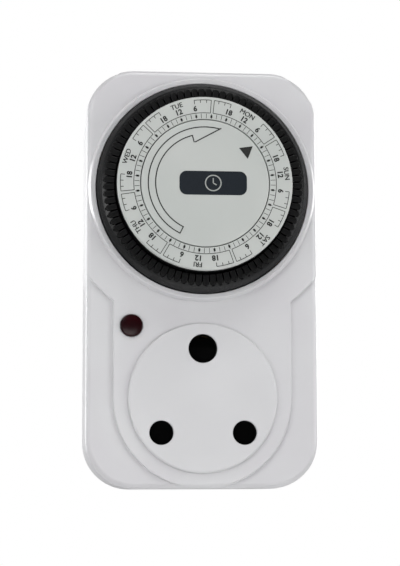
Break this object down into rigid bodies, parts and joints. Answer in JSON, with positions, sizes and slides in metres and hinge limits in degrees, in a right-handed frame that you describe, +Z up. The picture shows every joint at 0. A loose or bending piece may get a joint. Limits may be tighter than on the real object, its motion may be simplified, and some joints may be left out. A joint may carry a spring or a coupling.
{
  "type": "plug-in programmable timer",
  "caption": "Plug-in weekly timer with a tappet dial, a neon indicator and a three-round-pin socket outlet.",
  "frame": {"origin": "on the back face, at the centre of the three-pin pattern", "axes": "+Y out of the back face towards the wall socket, +Z up, the dial and socket face -Y"},
  "size_m": [0.0714, 0.0777, 0.1294],
  "materials": {
    "white_abs": "satin moulded ABS",
    "socket_face": "satin moulded ABS",
    "shutter_black": "moulded",
    "neon_red": "polished, see-through dark red",
    "black_abs": "fine satin",
    "tappet_black": "satin",
    "scale_white": "printed satin plastic",
    "knob_grey": "moulded",
    "steel_zinc": "zinc plated",
    "spring_steel": "bright",
    "axle_steel": "ground",
    "acetal": "moulded acetal",
    "plate_tan": "moulded glass-filled nylon",
    "motor_steel": "zinc plated pressing",
    "magnet": "ferrite",
    "bobbin": "moulded nylon",
    "copper_wire": "enamelled copper winding",
    "phenolic": "phenolic moulding",
    "brass_strip": "rolled brass",
    "brass_pin": "turned brass",
    "board": "laminate",
    "lamp_glass": "clear glass",
    "resistor": "lacquered",
    "wire_red": "PVC",
    "wire_blue": "PVC"
  },
  "bodies": {
    "housing": {"front_cover": "white_abs", "rear_housing": "white_abs", "socket_insert": "socket_face", "neon_lens": "neon_red", "housing_screws": "steel_zinc", "centre_disc": "scale_white", "dial_post": "acetal", "retaining_clip": "spring_steel", "movement_plate": "plate_tan", "movement_screws": "steel_zinc", "motor_can": "motor_steel", "motor_end_plate": "motor_steel", "coil_bobbin": "bobbin", "coil_winding": "copper_wire", "motor_gearhead": "plate_tan", "motor_screws": "steel_zinc", "idler_axle": "axle_steel", "clutch_axle": "axle_steel", "switch_base": "phenolic", "lever_pin": "axle_steel", "leaf_terminal": "brass_strip", "fixed_contact": "brass_strip", "contact_carrier": "phenolic", "carrier_screws": "steel_zinc", "shutter_spring": "spring_steel", "earth_contact": "brass_strip", "live_contact": "brass_strip", "neutral_contact": "brass_strip", "earth_pin": "brass_pin", "live_pin": "brass_pin", "neutral_pin": "brass_pin", "live_in_strip": "brass_strip", "live_out_strip": "brass_strip", "lamp_board": "board", "lamp_board_screw": "steel_zinc", "neon_lamp": "lamp_glass", "lamp_resistor": "resistor", "lamp_leads": "wire_red", "motor_leads": "wire_blue"},
    "dial": {"dial_ring": "black_abs", "dial_scale": "scale_white"},
    "tappets_sunday": {"tappets_sunday": "tappet_black"},
    "tappets_monday": {"tappets_monday": "tappet_black"},
    "tappets_tuesday": {"tappets_tuesday": "tappet_black"},
    "tappets_wednesday": {"tappets_wednesday": "tappet_black"},
    "tappets_thursday": {"tappets_thursday": "tappet_black"},
    "tappets_friday": {"tappets_friday": "tappet_black"},
    "tappets_saturday": {"tappets_saturday": "tappet_black"},
    "rotor": {"motor_rotor": "magnet", "rotor_shaft": "axle_steel"},
    "output_pinion": {"output_pinion": "acetal"},
    "idler_gear": {"idler_gear": "acetal"},
    "clutch_wheel": {"clutch_wheel": "acetal"},
    "drive_pinion": {"drive_pinion": "acetal", "clutch_spring": "spring_steel"},
    "cam_lever": {"cam_lever": "acetal"},
    "contact_leaf": {"contact_leaf": "brass_strip"},
    "override_knob": {"override_knob": "knob_grey"},
    "shutter": {"shutter": "shutter_black"}
  },
  "joints": [
    {"name": "dial_turn", "type": "hinge", "parent": "housing", "child": "dial", "pos_m": [0, -0.04, 0.06454], "axis": [0, 1, 0], "continuous": true},
    {"name": "push_sunday", "type": "slide", "parent": "dial", "child": "tappets_sunday", "axis": [0, 1, 0], "range_m": [0, 0.0026]},
    {"name": "push_monday", "type": "slide", "parent": "dial", "child": "tappets_monday", "axis": [0, 1, 0], "range_m": [0, 0.0026]},
    {"name": "push_tuesday", "type": "slide", "parent": "dial", "child": "tappets_tuesday", "axis": [0, 1, 0], "range_m": [0, 0.0026]},
    {"name": "push_wednesday", "type": "slide", "parent": "dial", "child": "tappets_wednesday", "axis": [0, 1, 0], "range_m": [0, 0.0026]},
    {"name": "push_thursday", "type": "slide", "parent": "dial", "child": "tappets_thursday", "axis": [0, 1, 0], "range_m": [0, 0.0026]},
    {"name": "push_friday", "type": "slide", "parent": "dial", "child": "tappets_friday", "axis": [0, 1, 0], "range_m": [0, 0.0026]},
    {"name": "push_saturday", "type": "slide", "parent": "dial", "child": "tappets_saturday", "axis": [0, 1, 0], "range_m": [0, 0.0026]},
    {"name": "drive_pinion_turn", "type": "hinge", "parent": "housing", "child": "drive_pinion", "pos_m": [0, -0.03, 0.04284], "axis": [0, 1, 0], "continuous": true},
    {"name": "clutch_wheel_turn", "type": "hinge", "parent": "housing", "child": "clutch_wheel", "pos_m": [0, -0.025, 0.04284], "axis": [0, 1, 0], "continuous": true},
    {"name": "idler_turn", "type": "hinge", "parent": "housing", "child": "idler_gear", "pos_m": [-0.01524, -0.024, 0.05164], "axis": [0, 1, 0], "continuous": true},
    {"name": "output_turn", "type": "hinge", "parent": "housing", "child": "output_pinion", "pos_m": [-0.01524, -0.022, 0.06674], "axis": [0, 1, 0], "continuous": true},
    {"name": "rotor_turn", "type": "hinge", "parent": "housing", "child": "rotor", "pos_m": [-0.01284, -0.008, 0.07374], "axis": [0, 1, 0], "continuous": true},
    {"name": "lever_swing", "type": "hinge", "parent": "housing", "child": "cam_lever", "pos_m": [0.02208, -0.0279, 0.0581], "axis": [-1, 0, 0], "range_deg": [0, 5.8]},
    {"name": "leaf_flex", "type": "hinge", "parent": "housing", "child": "contact_leaf", "pos_m": [0.02208, -0.0259, 0.0901], "axis": [1, 0, 0], "range_deg": [0, 7.7]},
    {"name": "override_slide", "type": "slide", "parent": "housing", "child": "override_knob", "axis": [0, 0, 1], "range_m": [0, 0.004]},
    {"name": "shutter_slide", "type": "slide", "parent": "housing", "child": "shutter", "axis": [0, 0, -1], "range_m": [0, 0.0082], "stiffness_N_per_m": 60, "springref_m": -0.006, "deforming": ["shutter_spring"]}
  ],
  "couplings": [
    {"joint": "drive_pinion_turn", "follows": "dial_turn", "ratio": -7},
    {"joint": "idler_turn", "follows": "clutch_wheel_turn", "ratio": -6},
    {"joint": "output_turn", "follows": "clutch_wheel_turn", "ratio": 24},
    {"joint": "lever_swing", "follows": "push_monday", "rad_per_m": 38.924},
    {"joint": "leaf_flex", "follows": "push_monday", "rad_per_m": 51.679}
  ]
}
